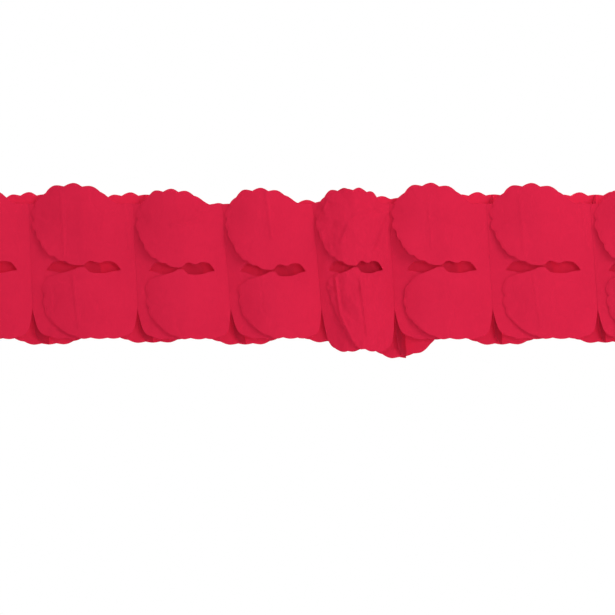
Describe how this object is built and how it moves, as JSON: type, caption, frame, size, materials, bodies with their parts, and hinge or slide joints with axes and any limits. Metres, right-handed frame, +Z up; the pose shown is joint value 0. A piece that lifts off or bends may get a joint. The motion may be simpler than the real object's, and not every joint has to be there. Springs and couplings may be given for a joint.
{
  "type": "paper garland",
  "caption": "Length of red tissue paper garland: creased sheets with scalloped lobes, glued in turn into an open accordion between two small end cards.",
  "frame": {"origin": "centre of the outer face of the left end card, at the height of the slots", "axes": "+X along the garland, -Y to its front, +Z up as it hangs"},
  "size_m": [0.677, 0.0536, 0.1537],
  "materials": {
    "tissue": "matte, slightly translucent tissue",
    "card": "matte"
  },
  "bodies": {
    "root": {"left_end_card": "card", "unit_1_left_sheet": "tissue", "unit_1_right_sheet": "tissue", "unit_2_left_sheet": "tissue", "unit_2_right_sheet": "tissue", "unit_3_left_sheet": "tissue", "unit_3_right_sheet": "tissue", "unit_4_left_sheet": "tissue", "unit_4_right_sheet": "tissue", "unit_5_left_sheet": "tissue", "unit_5_right_sheet": "tissue", "unit_6_left_sheet": "tissue", "unit_6_right_sheet": "tissue", "unit_7_left_sheet": "tissue", "unit_7_right_sheet": "tissue", "unit_8_left_sheet": "tissue", "unit_8_right_sheet": "tissue", "right_end_card": "card"}
  },
  "joints": []
}
